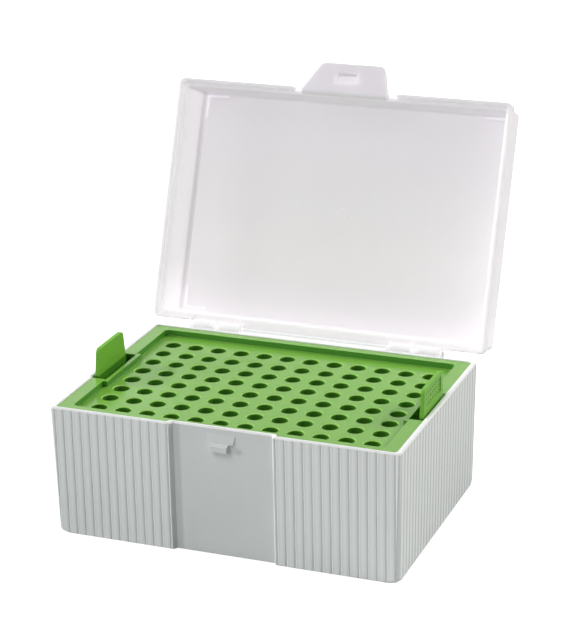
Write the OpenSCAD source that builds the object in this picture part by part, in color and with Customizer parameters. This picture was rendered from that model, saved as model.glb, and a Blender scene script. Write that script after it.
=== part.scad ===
// Pipette tip box for 96 tips: a ribbed base, a perforated tip tray resting in it, a hinged
// lid, and the latch tongue on the lid's front edge. The lid stands open against its stop.
// Millimetres, +Z up, +Y towards the hinge. The origin is the centre of the base's underside.

/* [Base] */
// Width of the base at its rim
box_w = 125.6; // [122:0.2:160]
// Depth of the base at its rim
box_d = 86.8; // [86:0.2:110]
// Height of the base
box_h = 46.9; // [30:0.1:90]
// Inset of each side wall at the foot
draft_x = 0.7; // [0.3:0.1:1.2]
// Inset of the front and back walls at the foot
draft_y = 0.3; // [0.2:0.1:1.2]
// Wall thickness at the rim, front and back
rim_wall = 1; // [1:0.1:2]
// Wall thickness at the rim, left and right
side_wall = 1.6; // [1:0.1:2.4]
// Height of the plain band above the ribs
rim_band = 0.7; // [0.6:0.1:3]
// Width of the bevel along the rim's outer edge
rim_bevel = 0.3; // [0.2:0.05:0.35]
// Thickness of the base's floor
floor_wall = 1.6; // [1:0.1:3]
// Width of the ledge that carries the tray
ledge_w = 1.7; // [1.4:0.1:2.5]

/* [Ribs] */
// Distance from rib to rib
rib_pitch = 3.2; // [2.4:0.1:5]
// Depth of the grooves between the ribs
rib_depth = 0.4; // [0.2:0.05:0.45]

/* [Latch recess] */
// Width of the recess's flat panel
recess_w = 35.5; // [30:0.5:50]
// Depth of the recess
recess_depth = 1.6; // [1:0.1:2]
// Run of the recess's slanted side walls
recess_slant = 1; // [0.5:0.1:2]
// Width of the latch nub
nub_w = 6.2; // [5:0.1:7]
// How far the nub stands out of the panel
nub_out = 2.2; // [1.5:0.1:2.3]
// Offset of the nub from the box's middle
nub_x = -0.7; // [-1:0.1:1]

/* [Tray] */
// Wells along the width
well_cols = 12; // [6:1:12]
// Wells along the depth
well_rows = 8; // [4:1:8]
// Distance from well to well
well_pitch = 9; // [9:0.1:9.2]
// Bore of a well
well_d = 5.6; // [4:0.1:6.4]
// Wall of the sleeve round a well
sleeve_wall = 0.9; // [0.6:0.1:1.1]
// Depth of a well from the tray's floor
well_depth = 6; // [3:0.5:8]
// How far the wells' middle lies in front of the box's middle
well_shift = 1.1; // [0:0.1:1.5]
// Gap between the tray and the base all round
tray_gap = 0.15; // [0.1:0.05:0.3]
// Depth of the tray's frame below the rim
frame_drop = 0.3; // [0.1:0.1:0.8]
// Depth of the tray's floor below the rim
floor_drop = 2.5; // [1.5:0.1:4]
// Thickness of the tray's walls
tray_wall = 1.4; // [1:0.1:1.6]
// Height of the tray's outer skirt
skirt_h = 8; // [6:0.5:12]
// Width of a lifting tab at the rim
tab_w = 22.4; // [16:0.2:26]
// Height of a lifting tab above the rim
tab_h = 9.5; // [6:0.5:12]
// Gap between a tab and the tray's floor
tab_gap = 3.3; // [2:0.1:4]

/* [Lid] */
// Overhang of the lip past the rim at each side
lip_side = 1.8; // [1.6:0.1:3]
// Overhang of the lip past the rim at the front and back
lip_front = 1.7; // [1.6:0.1:2]
// Height of the lid from its lower edge to its top
lid_h = 18.5; // [15:0.5:40]
// Height of the lip's outer face
lip_h = 3.4; // [3:0.1:6]
// How far the lip reaches below the rim when the lid is shut
lip_overlap = 1.9; // [1:0.1:2.4]
// Step from the lip to the wall above it
lip_step = 1.3; // [1:0.1:1.4]
// Thickness of the lid's walls and top
lid_wall = 1.4; // [1:0.1:2]
// Clearance between the lip and the rim
lid_gap = 0.3; // [0.2:0.05:0.5]
// Angle that the lid opens to
open_angle = 111.2; // [90:0.1:120]

/* [Hinge] */
// Distance of the hinge axis behind the base
hinge_out = 3.45; // [3.2:0.05:5]
// Depth of the hinge axis below the rim
hinge_drop = 0.36; // [0.2:0.02:1]
// Diameter of the hinge rod
rod_d = 2; // [1.6:0.1:2.2]
// Radial clearance of the clips on the rod
rod_gap = 0.06; // [0.03:0.01:0.1]
// Half the width of the shelf that carries the rod
shelf_end = 28.4; // [20:0.2:40]
// Length of a lid clip along the rod
clip_len = 8.6; // [6:0.2:12]

/* [Tongue] */
// Width of the tongue at its root
tongue_w = 33.4; // [30:0.2:33.8]
// Width of the tongue at its tip
tongue_tip_w = 24.4; // [18:0.2:30]
// Length of the tongue from its bending line
tongue_len = 13.3; // [11:0.1:20]
// Offset of the tongue from the lid's middle
tongue_x = 0.9; // [-0.9:0.1:0.9]
// Thickness of the tongue
tongue_t = 2.5; // [2.2:0.1:2.8]
// Angle that the tongue turns from its open rest to the latched pose
tongue_turn = 123.5; // [90:0.5:130]

/* [Hidden] */
$fn = 48;

grey = [0.80, 0.82, 0.83];
green = [0.45, 0.72, 0.30];
milky = [0.92, 0.92, 0.94];

far = 200;                 // longer than the whole box
over = 0.5;                // overshoot of a cutting tool past a face
facet = 32;                // facets of a circle inside a hull

// base
crest = 0.05;              // inset of the ribs' crests behind the rim band
shoulder_r = 0.55;         // rounding of a rib's two long edges
shoulder_w = sqrt(2 * shoulder_r * rib_depth - rib_depth * rib_depth);
rib_flat = rib_pitch - 2 * shoulder_w;
rib_land = 0.7;            // plain strip between the latch recess and the first groove
corner_r = 1;
foot_r = 2;
edge_r = 0.8;
slant = recess_slant / recess_depth;
inner_w = box_w - 2 * side_wall;
inner_d = box_d - 2 * rim_wall;
ledge_z = box_h - frame_drop - skirt_h;
recess_y = -box_d / 2 + recess_depth;
jog = 1.2;                 // widening of the recess's outline per mm inwards
nub_top = box_h - 5.6;
nub_slope = 0.7;
nub_face = 1.8;
nub_under = 0.4;
pad_h = 3.6;
pad_out = 0.45;
pad_w = 10.4;
pad_w_low = 8.8;
pad_x = -0.4;

// hinge
hinge_y = box_d / 2 + hinge_out;
hinge_z = box_h - hinge_drop;
rod_r = rod_d / 2;
shelf_t = 1.8;
ear_t = 0.8;
ear_r = rod_r + 0.2;
play = 0.5;                // end play between clips, ears and shelf
clip_r = rod_r + 1.4;
clip_x = [shelf_end + play, shelf_end + clip_len + ear_t + 3 * play];
ear_x = [clip_x[0] + clip_len + play, clip_x[1] + clip_len + play];
hinge_end = ear_x[1] + ear_t;
strip_h = 5;
stop_gap = 0.05;
heel_up = 0.4;
heel_low = 1.4;
mouth = 1.6 * rod_r;
bar_z = box_h + 1.2;
bar_h = 2;

// tray
tray_w = inner_w - 2 * tray_gap;
tray_d = inner_d - 2 * tray_gap;
frame_z = box_h - frame_drop;
plate_z = box_h - floor_drop;
frame_side = 4.9;
frame_front = 5.4;
frame_back = 4.3;
pan_x = tray_w / 2 - frame_side;
pan_front = -(tray_d / 2 - frame_front);
pan_back = tray_d / 2 - frame_back;
pan_r = 1.8;
chamfer = 0.35;
tab_t = 1.4;
tab_out = 0.45;            // inset of a tab's outer face behind the tray's side
tab_top_w = tab_w - 2.4;
tab_r = 2;
tab_x = tray_w / 2 - tab_out;
slot_x = tab_x - tab_t - tab_gap;
slot_w = tab_w + 3;
label_depth = 0.3;         // panel of dots on a tab's outer face
label_h = 5.6;
label_w = tab_top_w - 4;
label_z = box_h + tab_h - 1.6 - label_h / 2;
dot_rows = 3;
dot_cols = 7;
dot_d = 0.8;
dot_depth = 0.4;

// lid, as it lies when shut
lid_w = box_w + 2 * lip_side;
lid_d = box_d + 2 * lip_front;
lip_z = box_h - lip_overlap;
lid_top = lip_z + lid_h;
lid_rest = lid_gap + box_h; // underside of the step that stands over the rim
lip_r = 2.3;
back_gap = lid_gap + 0.4;  // lets the lip's back swing past the rim
wall_w = lid_w - 2 * lip_step;
wall_d = lid_d - 2 * lip_step;
top_in = 0.35;             // further inset of the walls at the top
round_out = 1.8;
round_in = 1.1;
cup_w = wall_w - 2 * lid_wall;
cup_d = wall_d - 2 * lid_wall;
cup_in = 0.5;
rib_w = 1;
rib_h = 0.5;
rib_leg = 8;

// tongue, as it hangs when latched
root_r = tongue_t / 2;
root_y = recess_y - 0.7 - root_r;
root_z = box_h - 1.1;
root_gap = 0.25;
notch_w = tongue_w + 6.9;
tip_r = 2.8;
pocket_w = 8;
pocket_x = -0.2;
pocket_from = 4.2;
pocket_to = 9;
pocket_depth = 1.8;

module rounded_rect(w, d, r) {
    square([w - 2 * r, d], center = true);
    square([w, d - 2 * r], center = true);
    for (x = [-1, 1], y = [-1, 1])
        translate([x * (w / 2 - r), y * (d / 2 - r)]) circle(r);
}

// Outline of the latch recess grown inwards, open towards the front
module recess_plan(inset) {
    y = recess_y + inset;
    half = recess_w / 2 + jog * inset;
    run = 6;
    polygon([[-half, y], [half, y], [half + slant * run, y - run], [-half - slant * run, y - run]]);
}

// A rounded plan that jogs back round the latch recess
module jogged_plan(w, d, r, inset) {
    difference() {
        rounded_rect(w, d, r);
        recess_plan(inset);
    }
}

// Plan of everything behind a wall of flat, round-shouldered ribs that look towards -Y
module ribbed_plan(face, centres) {
    core = rib_depth + 0.1;
    translate([-far / 2, core - face]) square([far, far]);
    for (x = centres) translate([x, -face]) {
        translate([-rib_flat / 2, 0]) square([rib_flat, core + over]);
        for (s = [-1, 1]) translate([s * rib_flat / 2, shoulder_r]) circle(shoulder_r);
    }
}

// A plan raised into a block whose -Y face leans in towards the foot
module leaning_block(face, draft) {
    translate([0, -face, box_h]) rotate([atan(draft / box_h), 0, 0])
        translate([0, face, -far / 2]) linear_extrude(far) children();
}

function rib_centres(span) =
    let (n = floor((span - 3) / rib_pitch) + 2)
    [for (i = [0 : n - 1]) (i - (n - 1) / 2) * rib_pitch];

function front_centres() =
    let (start = recess_w / 2 + recess_slant + rib_land,
         n = floor((box_w / 2 - start - 1) / rib_pitch))
    [for (i = [-1 : n], s = [-1, 1]) s * (start + (i + 0.5) * rib_pitch)];

module ribbed_block() {
    face_x = box_w / 2 - crest;
    face_y = box_d / 2 - crest;
    intersection() {
        leaning_block(face_y, draft_y) difference() {
            ribbed_plan(face_y, front_centres());
            recess_plan(crest);
        }
        rotate(180) leaning_block(face_y, draft_y) ribbed_plan(face_y, rib_centres(box_w));
        rotate(90) leaning_block(face_x, draft_x) ribbed_plan(face_x, rib_centres(box_d));
        rotate(270) leaning_block(face_x, draft_x) ribbed_plan(face_x, rib_centres(box_d));
        foot_envelope();
        translate([-far / 2, -far / 2, 0]) cube([far, far, box_h - rim_band + 0.1]);
    }
}

// Rounds the corners and the edges at the foot
module foot_envelope() {
    skin = 0.05;
    half_w = box_w / 2 + skin;
    half_d = box_d / 2 + skin;
    hull() for (x = [-1, 1], y = [-1, 1]) {
        translate([x * (half_w - corner_r), y * (half_d - corner_r), box_h])
            cylinder(h = 1, r = corner_r, $fn = facet);
        translate([x * (half_w - draft_x - foot_r), y * (half_d - draft_y - foot_r), foot_r - 0.1])
            sphere(foot_r, $fn = facet);
        translate([x * (half_w - draft_x - 2 * foot_r), y * (half_d - draft_y - edge_r), edge_r - 0.1])
            sphere(edge_r, $fn = facet);
        translate([x * (half_w - draft_x - edge_r), y * (half_d - draft_y - 2 * foot_r), edge_r - 0.1])
            sphere(edge_r, $fn = facet);
    }
}

// Plain band round the top, bevelled on its outer edge
module rim() {
    low = box_h - rim_band;
    waist = box_h - 1.6 * rim_bevel;
    difference() {
        hull() {
            translate([0, 0, low]) linear_extrude(waist - low)
                rounded_rect(box_w, box_d, corner_r, $fn = facet);
            translate([0, 0, box_h - 0.01]) linear_extrude(0.01)
                rounded_rect(box_w - 2 * rim_bevel, box_d - 2 * rim_bevel, corner_r, $fn = facet);
        }
        translate([0, 0, low - over]) linear_extrude(rim_band + 2 * over) recess_plan(0);
        hull() {
            translate([0, 0, waist]) linear_extrude(0.01) recess_plan(0);
            translate([0, 0, box_h]) linear_extrude(0.01) recess_plan(rim_bevel);
        }
    }
}

module cavity() {
    translate([0, 0, ledge_z]) linear_extrude(far)
        jogged_plan(inner_w, inner_d, corner_r, rim_wall);
    translate([0, 0, floor_wall]) linear_extrude(far)
        jogged_plan(inner_w - 2 * ledge_w, inner_d - 2 * ledge_w, corner_r, rim_wall + ledge_w);
}

// Nub that the tongue hooks over, with the ramp above it
module nub() {
    y = recess_y + 0.2;
    out = recess_y - nub_out;
    translate([nub_x - nub_w / 2, 0, 0]) rotate([90, 0, 90]) linear_extrude(nub_w) polygon([
        [y, nub_top], [recess_y, nub_top], [out, nub_top - nub_slope],
        [out, nub_top - nub_slope - nub_face],
        [recess_y, nub_top - nub_slope - nub_face - nub_under],
        [y, nub_top - nub_slope - nub_face - nub_under]]);
    intersection() {
        translate([-far / 2, 0, 0]) rotate([90, 0, 90]) linear_extrude(far) polygon([
            [y + 0.3, nub_top + pad_h], [recess_y + 0.1, nub_top + pad_h],
            [recess_y - pad_out, nub_top - 0.2], [y + 0.3, nub_top - 0.2]]);
        translate([pad_x, recess_y + 1, 0]) rotate([90, 0, 0]) linear_extrude(3) polygon([
            [-pad_w / 2, nub_top + pad_h], [pad_w / 2, nub_top + pad_h],
            [pad_w_low / 2, nub_top - 0.2], [-pad_w_low / 2, nub_top - 0.2]]);
    }
}

// Flat strip, shelf, ears and rod on the back of the base
module hinge_rail() {
    back = box_d / 2;
    root = 0.8;
    translate([-hinge_end, back - root, box_h - strip_h]) cube([2 * hinge_end, root, strip_h]);
    translate([-shelf_end, back - root, box_h - shelf_t])
        cube([2 * shelf_end, hinge_out + root, shelf_t]);
    for (s = [-1, 1], x = ear_x) translate([s * (x + ear_t / 2) - ear_t / 2, 0, 0]) {
        translate([0, back - root, hinge_z - ear_r]) cube([ear_t, hinge_out + root, 2 * ear_r - 0.84]);
        translate([0, hinge_y, hinge_z]) rotate([0, 90, 0]) cylinder(h = ear_t, r = ear_r);
    }
    translate([-hinge_end, hinge_y, hinge_z]) rotate([0, 90, 0])
        cylinder(h = 2 * hinge_end, r = rod_r);
}

module base() color(grey) {
    difference() {
        union() {
            ribbed_block();
            rim();
        }
        cavity();
    }
    nub();
    hinge_rail();
}

module well_grid() {
    for (c = [0 : well_cols - 1], r = [0 : well_rows - 1])
        translate([(c - (well_cols - 1) / 2) * well_pitch,
                   (r - (well_rows - 1) / 2) * well_pitch - well_shift]) children();
}

module pan_plan(grow) {
    translate([0, (pan_front + pan_back) / 2])
        rounded_rect(2 * (pan_x + grow), pan_back - pan_front + 2 * grow, pan_r);
}

module tray_plan(inset) {
    jogged_plan(tray_w - 2 * inset, tray_d - 2 * inset, corner_r - tray_gap,
                rim_wall + tray_gap + inset);
}

// Plan of the finger slot beside a tab, on both sides
module slot_plan(grow) {
    for (s = [-1, 1]) translate([s * (slot_x + far / 2 - grow), -well_shift])
        square([far, slot_w + 2 * grow], center = true);
}

// Frame, pan, outer skirt and the walls round the finger slots
module tray_shell() {
    below = frame_z - skirt_h;
    difference() {
        union() {
            translate([0, 0, frame_z - tray_wall]) linear_extrude(tray_wall) difference() {
                tray_plan(0);
                pan_plan(0);
            }
            translate([0, 0, plate_z - tray_wall]) linear_extrude(frame_z - plate_z + tray_wall - 0.1)
                difference() {
                    pan_plan(tray_wall);
                    pan_plan(0);
                }
            translate([0, 0, plate_z - tray_wall]) linear_extrude(tray_wall) difference() {
                pan_plan(0.2);
                well_grid() circle(d = well_d);
            }
            translate([0, 0, below]) linear_extrude(skirt_h - 0.1) difference() {
                tray_plan(0);
                tray_plan(tray_wall);
            }
            translate([0, 0, below]) linear_extrude(skirt_h - 0.1) intersection() {
                tray_plan(0);
                slot_plan(tray_wall);
            }
        }
        translate([0, 0, below + tray_wall]) linear_extrude(far) slot_plan(0);
    }
}

module sleeves() {
    low = plate_z - well_depth;
    translate([0, 0, low]) linear_extrude(well_depth - tray_wall + 0.2) difference() {
        well_grid() circle(d = well_d + 2 * sleeve_wall);
        well_grid() circle(d = well_d);
    }
}

// Lifting tab on the +X side, with a sunk panel of plain dimples on its outer face
module tab() {
    below = frame_z - skirt_h;
    module plan() {
        half = tab_w / 2;
        top = tab_top_w / 2;
        z = box_h + tab_h;
        polygon([[-half, below], [half, below], [half, box_h], [top, z - tab_r],
                 [top - tab_r, z], [-top + tab_r, z], [-top, z - tab_r], [-half, box_h]]);
        for (s = [-1, 1]) translate([s * (top - tab_r), z - tab_r]) circle(tab_r);
    }
    module upright(x, t) {
        translate([x, -well_shift, 0]) rotate([90, 0, 90]) linear_extrude(t) children();
    }
    difference() {
        upright(tab_x - tab_t, tab_t) plan();
        upright(tab_x - label_depth, tab_t)
            translate([0, label_z]) square([label_w, label_h], center = true);
        upright(tab_x - label_depth - dot_depth, tab_t)
            for (row = [0 : dot_rows - 1], col = [0 : dot_cols - 1])
                translate([(col - (dot_cols - 1) / 2) * label_w / dot_cols,
                           label_z + (row - (dot_rows - 1) / 2) * label_h / dot_rows])
                    circle(d = dot_d);
    }
}

module tray() color(green) {
    difference() {
        union() {
            tray_shell();
            sleeves();
        }
        translate([0, 0, plate_z - chamfer]) well_grid()
            cylinder(h = chamfer + 0.01, r1 = well_d / 2, r2 = well_d / 2 + chamfer + 0.01);
    }
    for (s = [0, 1]) mirror([s, 0, 0]) tab();
}

// Turns a closed-lid shape about the hinge to the open rest
module opened() {
    translate([0, hinge_y, hinge_z]) rotate([-open_angle, 0, 0])
        translate([0, -hinge_y, -hinge_z]) children();
}

module corner_balls(w, d, z, r) {
    for (x = [-1, 1], y = [-1, 1])
        translate([x * (w / 2 - r), y * (d / 2 - r), z - r]) sphere(r, $fn = facet);
}

module lid_outside() {
    translate([0, 0, lip_z]) linear_extrude(lip_h) rounded_rect(lid_w, lid_d, lip_r);
    hull() {
        translate([0, 0, lip_z + lip_h - 0.2]) linear_extrude(0.1)
            rounded_rect(wall_w, wall_d, lip_r - 0.2, $fn = facet);
        corner_balls(wall_w - 2 * top_in, wall_d - 2 * top_in, lid_top, round_out);
    }
}

module lid_inside() {
    translate([0, (back_gap - lid_gap) / 2, lip_z - over]) linear_extrude(lid_rest - lip_z + over)
        rounded_rect(box_w + 2 * lid_gap, box_d + lid_gap + back_gap, corner_r + lid_gap);
    hull() {
        translate([0, 0, lid_rest - 0.1]) linear_extrude(0.1)
            rounded_rect(cup_w, cup_d, corner_r, $fn = facet);
        corner_balls(cup_w - 2 * cup_in, cup_d - 2 * cup_in, lid_top - lid_wall, round_in);
    }
}

// Bar above the hinge, its four clips, and the heels that stop the lid when it is open
module lid_hinge() {
    back = wall_d / 2;
    translate([-ear_x[1] + play, back - 0.4, bar_z]) cube([2 * (ear_x[1] - play), hinge_y - back + 0.5, bar_h]);
    for (s = [-1, 1], x = clip_x)
        translate([s * (x + clip_len / 2) - clip_len / 2, hinge_y, hinge_z]) {
            rotate([0, 90, 0]) cylinder(h = clip_len, r = clip_r);
            rotate([open_angle, 0, 0]) translate([0, stop_gap - hinge_out, -heel_low])
                cube([clip_len, hinge_out - rod_r - 0.6, heel_low + heel_up]);
        }
}

module clip_bores() {
    for (s = [-1, 1], x = clip_x)
        translate([s * (x + clip_len / 2) - clip_len / 2 - over / 2, hinge_y, hinge_z]) {
            rotate([0, 90, 0]) cylinder(h = clip_len + over, r = rod_r + rod_gap);
            translate([0, 0, -mouth / 2]) cube([clip_len + over, clip_r + over, mouth]);
        }
}

// Clears the lip's back for the shelf and ears
module hinge_relief() {
    half = hinge_end + play;
    translate([-half, box_d / 2 + lid_gap, lip_z - over]) cube([2 * half, 10, bar_z - lip_z + over]);
}

// Clears the lip's front for the tongue, down to the sweep of its root
module tongue_relief() {
    reach = 10;
    translate([tongue_x - notch_w / 2, 0, 0]) rotate([90, 0, 90]) linear_extrude(notch_w) {
        translate([-wall_d / 2 - reach, lip_z - over]) {
            square([reach, lip_h + over + 0.01]);
            square([reach + lid_wall, root_z + root_r - lip_z + over]);
        }
        translate([root_y, root_z]) {
            circle(root_r + root_gap);
            rotate(-tongue_turn) translate([-root_r - 0.9 * root_gap, -reach])
                square([2 * root_r, reach]);
        }
    }
}

module corner_marks() {
    x = cup_w / 2 - 3.1;
    y = cup_d / 2 - 2;
    for (sx = [-1, 1], sy = [-1, 1])
        translate([sx * x, sy * y, lid_top - lid_wall - rib_h]) {
            translate([sx > 0 ? -rib_leg : 0, -rib_w / 2, 0]) cube([rib_leg, rib_w, rib_h + 0.3]);
            translate([-rib_w / 2, sy > 0 ? -rib_leg : 0, 0]) cube([rib_w, rib_leg, rib_h + 0.3]);
        }
}

module lid() color(milky) opened() {
    difference() {
        union() {
            difference() {
                lid_outside();
                lid_inside();
                hinge_relief();
            }
            lid_hinge();
        }
        clip_bores();
        tongue_relief();
    }
    corner_marks();
    translate([0, 0, lid_top - lid_wall - 0.3]) cylinder(h = 0.6, d = 5);
}

// Outline of the tongue, with its bending line on the X axis
module tongue_plan() {
    lean = atan((tongue_w - tongue_tip_w) / 2 / tongue_len);
    cx = tongue_w / 2 - (tip_r + (tongue_len - tip_r) * sin(lean)) / cos(lean);
    cy = tongue_len - tip_r;
    side = [cx + tip_r * cos(lean), cy + tip_r * sin(lean)];
    polygon([[-tongue_w / 2, 0], [tongue_w / 2, 0], side, [cx, cy], [cx, tongue_len],
             [-cx, tongue_len], [-cx, cy], [-side[0], side[1]]]);
    for (s = [-1, 1]) translate([s * cx, cy]) circle(tip_r);
}

module latch_tongue() color(milky) opened()
    translate([0, root_y, root_z]) rotate([-tongue_turn, 0, 0]) {
        difference() {
            translate([tongue_x, root_r, 0]) rotate([90, 0, 0]) linear_extrude(tongue_t)
                mirror([0, 1]) tongue_plan();
            translate([pocket_x - pocket_w / 2, root_r - pocket_depth, -pocket_to])
                cube([pocket_w, pocket_depth + over, pocket_to - pocket_from]);
        }
        translate([tongue_x - tongue_w / 2, 0, 0]) rotate([0, 90, 0])
            cylinder(h = tongue_w, r = root_r);
    }

base();
tray();
lid();
latch_tongue();
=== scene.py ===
"""Looks for the pipette tip box: finishes, light, floor and camera."""

import math

import bpy
from mathutils import Matrix, Vector


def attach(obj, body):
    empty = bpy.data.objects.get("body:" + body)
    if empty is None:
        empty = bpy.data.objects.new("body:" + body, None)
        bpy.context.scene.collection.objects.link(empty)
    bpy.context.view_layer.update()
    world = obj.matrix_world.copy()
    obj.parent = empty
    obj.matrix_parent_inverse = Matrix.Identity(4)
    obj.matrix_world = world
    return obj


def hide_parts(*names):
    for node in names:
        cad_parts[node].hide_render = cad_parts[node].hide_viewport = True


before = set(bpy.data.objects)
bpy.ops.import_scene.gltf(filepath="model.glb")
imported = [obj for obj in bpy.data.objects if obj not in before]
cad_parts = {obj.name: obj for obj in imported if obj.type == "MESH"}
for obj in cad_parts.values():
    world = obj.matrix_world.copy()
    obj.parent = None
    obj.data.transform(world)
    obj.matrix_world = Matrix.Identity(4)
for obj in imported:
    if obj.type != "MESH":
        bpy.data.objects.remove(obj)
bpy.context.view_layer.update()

MM = 0.001

# Box, in mm: its ribbed faces lie beyond these distances from the middle
BOX_SIDE = 61.35
BOX_FRONT = 42.45
RIB_PITCH = 3.2
FRONT_START = 0.25
RECESS_HALF = 18.6
RIM_FOOT = 46.2
RIM_ROUND = 0.8

# Heights on the tray, in mm
WELL_MOUTH = 44.0
PAN_TOP = 46.65
TAB_FOOT = 47.2

# Lid, in mm: half widths at which its side wall and its lip start, and its height when open
LID_WALL = 59.7
LID_LIP = 62.0
LID_TOP = 132.0

# Tray whose pan reaches further to the front and back than its solid's, in mm
PAN_FOOT = 42.9
PAN_END = 57.6
FRONT_GAIN = 2.3
FRONT_WALL = (-38.3, -36.6)
FRONT_CORNER = (54.2, -35.0)
BACK_GAIN = 1.2
BACK_WALL = (36.1, 39.5)

# How strongly each mark shows: painted highlights on the rib tops and along edges, a painted
# light band in the grooves, and the moulding's clouds, smears, grain and roughness
CROWN_HIGHLIGHT_WEIGHT = 0.55
GROOVE_LIGHT_WEIGHT = 0.9
GROOVE_LIGHT_NARROW = 9.0
CLOUD_MM = 22
FLOW_MM = 5
SMEAR_MM = 9
EDGE_GAIN = 2.2
GRAIN_DEPTH = 0.012
SMEAR_ROUGH = 0.07
MATT_ROUGH = 0.35

# Height of a surface's normal: under the first it is upright, between the others it slopes
UPRIGHT = 0.3
SLOPE = (0.4, 0.95)


class Value:
    """A node's output. Arithmetic on it adds Math nodes to its finish."""

    def __init__(self, finish, socket):
        self.finish = finish
        self.socket = socket

    def math(self, operation, first, second):
        return self.finish.node(
            "ShaderNodeMath", {"operation": operation}, {0: first, 1: second}
        )

    def __add__(self, other):
        return self.math("ADD", self, other)

    def __radd__(self, other):
        return self.math("ADD", other, self)

    def __sub__(self, other):
        return self.math("SUBTRACT", self, other)

    def __rsub__(self, other):
        return self.math("SUBTRACT", other, self)

    def __mul__(self, other):
        return self.math("MULTIPLY", self, other)

    def __rmul__(self, other):
        return self.math("MULTIPLY", other, self)

    def above(self, limit):
        """1 where the value is over the limit, else 0."""
        return self.math("GREATER_THAN", self, limit)

    def size(self):
        return self.math("ABSOLUTE", self, 0.0)

    def wave(self):
        """Falls from 1 to 0 and back for every whole step of the value."""
        return self.math("COSINE", self * math.tau, 0.0) * 0.5 + 0.5

    def power(self, exponent):
        return self.math("POWER", self, exponent)

    def clamped(self):
        return self.finish.node(
            "ShaderNodeClamp", {}, {"Value": self, "Min": 0.0, "Max": 1.0}
        )


class Finish:
    """A node tree under construction, for a material or for the world."""

    def __init__(self, tree):
        self.tree = tree
        self.tree.nodes.clear()

    def node(self, kind, settings, sockets, output=0):
        """Adds a node, sets its settings and then its sockets, and returns one output."""
        node = self.tree.nodes.new(kind)
        for name, setting in settings.items():
            if name == "stops":
                self.set_stops(node.color_ramp, setting)
            else:
                setattr(node, name, setting)
        for name, value in sockets.items():
            if isinstance(value, Value):
                self.tree.links.new(value.socket, node.inputs[name])
            else:
                node.inputs[name].default_value = value
        return Value(self, node.outputs[output]) if node.outputs else node

    @staticmethod
    def set_stops(ramp, stops):
        while len(ramp.elements) < len(stops):
            ramp.elements.new(1.0)
        for element, (place, level) in zip(ramp.elements, stops):
            element.position = place
            element.color = (level, level, level, 1.0)

    def place(self):
        return self.node("ShaderNodeTexCoord", {}, {}, "Object")

    def axes(self):
        """The three object coordinates, in mm."""
        spot = self.node(
            "ShaderNodeVectorMath",
            {"operation": "SCALE"},
            {0: self.place(), "Scale": 1 / MM},
        )
        return [
            self.node("ShaderNodeSeparateXYZ", {}, {"Vector": spot}, axis)
            for axis in ("X", "Y", "Z")
        ]

    def noise(self, size_mm, detail=2.0, stretch=(1, 1, 1)):
        """Noise whose blobs are about size_mm across, from 0 to 1 around 0.5."""
        spot = self.node(
            "ShaderNodeMapping",
            {},
            {"Vector": self.place(), "Scale": tuple(1 / s for s in stretch)},
        )
        return self.node(
            "ShaderNodeTexNoise",
            {},
            {"Vector": spot, "Scale": 1 / (size_mm * MM), "Detail": detail},
        )

    def blend(self, factor, first, second):
        return self.node(
            "ShaderNodeMix", {"data_type": "RGBA"}, {0: factor, 6: first, 7: second}, 2
        )

    def ramp(self, value, stops):
        return self.node("ShaderNodeValToRGB", {"stops": stops}, {"Fac": value})

    def rounded(self, radius_mm):
        """The surface's normal as if each edge had this radius."""
        return self.node(
            "ShaderNodeBevel", {"samples": 6}, {"Radius": radius_mm * MM}
        )

    def true_normal(self):
        return self.node("ShaderNodeNewGeometry", {}, {}, "True Normal")

    def edges(self, radius_mm):
        """1 along edges and 0 on flat faces."""
        along = self.node(
            "ShaderNodeVectorMath",
            {"operation": "DOT_PRODUCT"},
            {0: self.rounded(radius_mm), 1: self.true_normal()},
            "Value",
        )
        return ((1 - along) * EDGE_GAIN).clamped()

    def rise(self):
        """1 where the surface looks up, 0 where it is upright."""
        return self.node(
            "ShaderNodeSeparateXYZ", {}, {"Vector": self.true_normal()}, "Z"
        )

    def blend_normals(self, factor, first, second):
        return self.node(
            "ShaderNodeMix",
            {"data_type": "VECTOR"},
            {0: factor, 4: first, 5: second},
            1,
        )

    def grained(self, grain_mm, normal):
        """The fine grain of the mould on top of a normal."""
        return self.node(
            "ShaderNodeBump",
            {},
            {
                "Height": self.noise(grain_mm, 1.0),
                "Strength": 1.0,
                "Distance": GRAIN_DEPTH * MM,
                "Normal": normal,
            },
        )

    def output(self, shader):
        self.node("ShaderNodeOutputMaterial", {}, {"Surface": shader})


def new_finish(name):
    material = bpy.data.materials.new(name)
    material.use_nodes = True
    return material, Finish(material.node_tree)


def colour(red, green, blue):
    """Linear colour of 8-bit display values."""
    return tuple(
        v / 12.92 if v <= 0.04045 else ((v + 0.055) / 1.055) ** 2.4
        for v in (red / 255, green / 255, blue / 255)
    ) + (1.0,)


# Each function of tones takes a finish and its colour, and returns the colour and what is matt
def box_tones(f, body):
    """Painted highlights on the rib tops, and a painted light band along each groove of the
    front and back.
    """
    x, y, z = f.axes()
    on_side = x.size().above(BOX_SIDE)
    beside_recess = (x.size().above(RECESS_HALF) + y.above(0.0)).clamped()
    on_end = y.size().above(BOX_FRONT) * beside_recess * (1 - on_side)
    along_side = y * (1 / RIB_PITCH)
    along_end = (x.size() - (1 - y.above(0.0)) * FRONT_START) * (1 / RIB_PITCH)
    ribbed = (on_side + on_end) * (1 - z.above(RIM_FOOT))
    groove = (along_side * on_side + along_end * on_end).wave()
    # Painted highlight: the rib tops are lighter.
    crown_highlight = (1 - groove) * ribbed * CROWN_HIGHLIGHT_WEIGHT
    # Painted light: a narrow lighter band along each groove of the front and back.
    groove_light = groove.power(GROOVE_LIGHT_NARROW) * on_end * ribbed * GROOVE_LIGHT_WEIGHT
    body = f.blend(crown_highlight, body, colour(240, 244, 243))
    return f.blend(groove_light, body, colour(236, 239, 238)), 0.0


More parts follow.
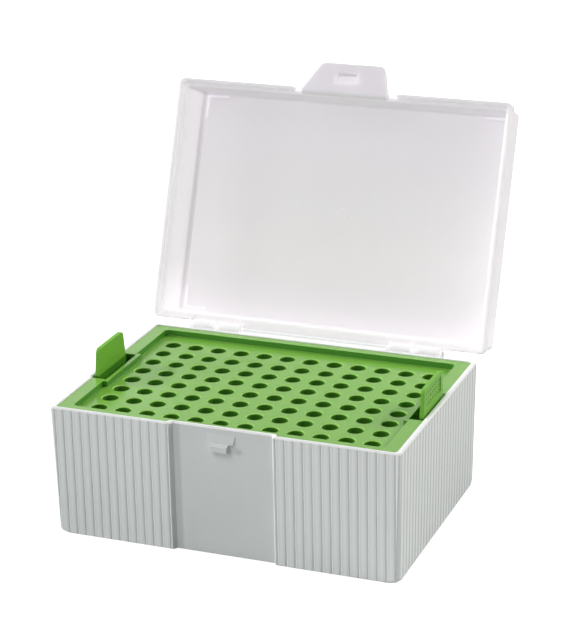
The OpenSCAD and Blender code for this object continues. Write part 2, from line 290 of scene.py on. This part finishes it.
def tray_tones(f, body):
    """Painted shade on the pan's upright walls, a painted highlight on the slope round each
    well, painted shade and a matt finish within the wells, and matt tabs.
    """
    height = f.axes()[2]
    rise = f.rise()
    # Painted shade: the pan's upright walls below its top are darker.
    walls = (1 - rise.size().above(UPRIGHT)) * (1 - height.above(PAN_TOP))
    # Painted highlight: the slope round each well is lighter.
    ring_highlight = rise.above(SLOPE[0]) * (1 - rise.above(SLOPE[1]))
    # Painted shade: the wells below their mouth are darker; they are also matt.
    shaded_matt_wells = 1 - height.above(WELL_MOUTH)
    tabs = height.above(TAB_FOOT)
    body = f.blend(walls, body, colour(68, 135, 34))
    body = f.blend(ring_highlight, body, colour(146, 203, 84))
    body = f.blend(shaded_matt_wells, body, colour(62, 120, 24))
    return f.blend(tabs, body, colour(108, 170, 50)), shaded_matt_wells + tabs


def lid_tones(f, body):
    """Painted shade greyer towards the free edge and on the side walls, painted light paler at
    the hinge.
    """
    x, _, z = f.axes()
    across, along = x.size(), z * (1 / LID_TOP)
    # Painted shade: greyer towards the free edge.
    tip = f.ramp(along, [(0.55, 0.0), (1.0, 1.0)])
    # Painted light: paler at the hinge.
    foot_light = f.ramp(along, [(0.34, 1.0), (0.5, 0.0)])
    body = f.blend(tip, body, colour(224, 220, 227))
    # Painted shade: the side walls and lip are greyer.
    body = f.blend(across.above(LID_WALL), body, colour(222, 219, 223))
    body = f.blend(across.above(LID_LIP), body, colour(228, 225, 229))
    return f.blend(foot_light, body, colour(238, 235, 238)), 0.0


def moulded_plastic(
    name, tone, shade, edge_highlight, rough, edge_mm, grain_mm,
    tones=None, rim_highlight=None, clear=0.0, shadow_clear=0.0, **principled
):
    """Injection-moulded plastic: faint flow clouds, fine grain, a painted highlight along
    edges and, where given, a painted highlight on the top band.
    """
    material, f = new_finish(name)
    clouds = f.noise(CLOUD_MM, 3.0) * 0.7 + f.noise(FLOW_MM, 2.0, (1, 1, 6)) * 0.3
    body = f.blend(f.ramp(clouds, [(0.3, 0.0), (0.7, 1.0)]), shade, tone)
    body, matt = tones(f, body) if tones else (body, 0.0)
    # Painted highlight: edges are lighter.
    body = f.blend(f.edges(edge_mm), body, edge_highlight)
    face = f.rounded(edge_mm)
    # Painted highlight: the top band is lighter, with a real rounding of its normal.
    if rim_highlight:
        on_rim = f.axes()[2].above(RIM_FOOT)
        body = f.blend(on_rim, body, rim_highlight)
        face = f.blend_normals(on_rim, face, f.rounded(RIM_ROUND))
    smears = f.ramp(f.noise(SMEAR_MM, 4.0, (1, 2.5, 1)), [(0.35, 0.0), (0.75, 1.0)])
    plastic = f.node(
        "ShaderNodeBsdfPrincipled",
        {},
        {
            "Base Color": body,
            "Roughness": smears * SMEAR_ROUGH + matt * MATT_ROUGH + rough,
            "Normal": f.grained(grain_mm, face),
            **principled,
        },
    )
    if shadow_clear:
        in_shadow = f.node("ShaderNodeLightPath", {}, {}, "Is Shadow Ray")
        plastic = f.node(
            "ShaderNodeMixShader",
            {},
            {
                0: in_shadow * shadow_clear + clear,
                1: plastic,
                2: f.node("ShaderNodeBsdfTransparent", {}, {}),
            },
        )
    f.output(plastic)
    return material


# The third colour of each finish is its painted edge highlight.
box_plastic = moulded_plastic(
    "box_plastic", colour(214, 219, 218), colour(209, 214, 213), colour(232, 235, 234),
    0.40, 0.2, 0.5, box_tones, rim_highlight=colour(244, 246, 245),
    **{"Specular IOR Level": 0.35},
)
tray_plastic = moulded_plastic(
    "tray_plastic", colour(119, 176, 66), colour(114, 171, 62), colour(146, 205, 84),
    0.16, 0.25, 0.6, tray_tones,
    **{
        "Specular IOR Level": 0.7,
        "Subsurface Weight": 0.15,
        "Subsurface Radius": (0.5, 1.0, 0.25),
        "Subsurface Scale": 1.5 * MM,
    },
)
# Translucent plastic of the lid and its tongue
milky = {
    "Subsurface Weight": 1.0,
    "Subsurface Radius": (1.0, 1.0, 1.0),
    "Subsurface Scale": 4 * MM,
    "Specular IOR Level": 0.35,
    "clear": 0.06,
    "shadow_clear": 0.84,
}
lid_plastic = moulded_plastic(
    "lid_plastic", colour(244, 239, 244), colour(241, 236, 241), colour(242, 240, 243),
    0.36, 0.25, 0.7, lid_tones, **milky,
)
# Painted shade: the tongue is a darker copy of the lid's milky plastic.
tongue_shaded_plastic = moulded_plastic(
    "tongue_shaded_plastic", colour(220, 217, 222), colour(217, 214, 219), colour(230, 228, 231),
    0.36, 0.25, 0.7, **milky,
)


def dress(node, material):
    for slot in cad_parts[node].material_slots:
        slot.material = material


dress("base", box_plastic)
dress("lid", lid_plastic)
dress("latch_tongue", tongue_shaded_plastic)


def pan_shift(spot):
    """How far a point of the tray moves, which it does only on the pan's two long walls."""
    across, y = abs(spot.x), spot.y
    if spot.z < PAN_FOOT or across > PAN_END:
        return 0.0
    if BACK_WALL[0] < y < BACK_WALL[1]:
        return BACK_GAIN
    on_wall = FRONT_WALL[0] < y < FRONT_WALL[1]
    on_corner = across > FRONT_CORNER[0] and FRONT_WALL[0] < y < FRONT_CORNER[1]
    return -FRONT_GAIN if on_wall or on_corner else 0.0


def long_pan_tray():
    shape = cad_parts["tray"].data.copy()
    for corner in shape.vertices:
        corner.co.y += pan_shift(corner.co / MM) * MM
    shape.materials.clear()
    shape.materials.append(tray_plastic)
    tray = bpy.data.objects.new("tip_tray", shape)
    bpy.context.scene.collection.objects.link(tray)
    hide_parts("tray")
    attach(tray, "box")


long_pan_tray()

FLOOR_SIZE = 6.0
FLOOR_HEIGHT = -0.2 * MM
FLOOR_GLOW = 0.8


def paper_floor():
    """Pale paper that the camera sees as white, apart from the shadow on it."""
    bpy.ops.mesh.primitive_plane_add(size=FLOOR_SIZE, location=(0, 0, FLOOR_HEIGHT))
    floor = bpy.context.object
    floor.name = "floor"
    material, f = new_finish("floor_paper")
    seen = f.node("ShaderNodeLightPath", {}, {}, "Is Camera Ray")
    paper = f.blend(f.noise(40, 3.0), colour(206, 206, 206), colour(210, 210, 210))
    diffuse = f.node("ShaderNodeBsdfDiffuse", {}, {"Color": paper})
    glow = f.node(
        "ShaderNodeEmission", {}, {"Color": (1, 1, 1, 1), "Strength": seen * FLOOR_GLOW}
    )
    f.output(f.node("ShaderNodeAddShader", {}, {0: diffuse, 1: glow}))
    floor.data.materials.append(material)


def white_studio():
    """White where it is seen or mirrored. The lamps alone light the box."""
    world = bpy.data.worlds.new("studio")
    bpy.context.scene.world = world
    world.use_nodes = True
    f = Finish(world.node_tree)
    seen = f.node("ShaderNodeLightPath", {}, {}, "Is Camera Ray")
    mirrored = f.node("ShaderNodeLightPath", {}, {}, "Is Glossy Ray")
    dark, white = (
        f.node("ShaderNodeBackground", {}, {"Color": (1, 1, 1, 1), "Strength": strength})
        for strength in (0.0, 1.0)
    )
    both = f.node(
        "ShaderNodeMixShader", {}, {0: (seen + mirrored).clamped(), 1: dark, 2: white}
    )
    f.node("ShaderNodeOutputWorld", {}, {"Surface": both})


def lamp(name, towards, strength, spread, tint=(1.0, 1.0, 1.0)):
    """Light from far away in the direction given, whose source is never mirrored."""
    light = bpy.data.lights.new(name, "SUN")
    light.color = tint
    light.energy = strength
    light.angle = math.radians(spread)
    holder = bpy.data.objects.new(name, light)
    holder.visible_glossy = False
    holder.rotation_mode = "QUATERNION"
    holder.rotation_quaternion = Vector(towards).to_track_quat("Z", "Y")
    bpy.context.scene.collection.objects.link(holder)


paper_floor()
white_studio()
lamp("high_left", (-21.7, -0.3, 12), 1.5, 6)
lamp("low_left", (-4.6, -2.2, 0.94), 1.0, 7)
lamp("front_top", (-0.36, -0.78, 0.98), 1.32, 30)
lamp("back_right", (14.5, 9.2, 12), 2.5, 22, (1.0, 0.985, 0.96))

# Camera: angles in degrees, lengths in mm. The focal length is in units of the frame's height.
VIEW_ANGLES = (21.436, 19.861, -1.024)
VIEW_AIM = (-0.143, -1.1, 44.395)
AIM_IN_VIEW = (-6.238, -28.305, -765.365)
FOCAL_LENGTH = 2199.928 / 620
SENSOR = 36


def camera():
    azimuth, elevation, roll = (math.radians(angle) for angle in VIEW_ANGLES)
    back = Vector((
        math.sin(azimuth) * math.cos(elevation),
        -math.cos(azimuth) * math.cos(elevation),
        math.sin(elevation),
    ))
    right = Vector((math.cos(azimuth), math.sin(azimuth), 0))
    up = back.cross(right)
    turned = Matrix((right, up, back)).transposed() @ Matrix.Rotation(roll, 3, "Z")
    place = Vector(VIEW_AIM) * MM - turned @ (Vector(AIM_IN_VIEW) * MM)
    data = bpy.data.cameras.new("camera")
    data.sensor_width = SENSOR
    data.lens = SENSOR * FOCAL_LENGTH
    view = bpy.data.objects.new("camera", data)
    view.matrix_world = Matrix.Translation(place) @ turned.to_4x4()
    bpy.context.scene.collection.objects.link(view)
    bpy.context.scene.camera = view


camera()
bpy.context.scene.view_settings.view_transform = "Standard"
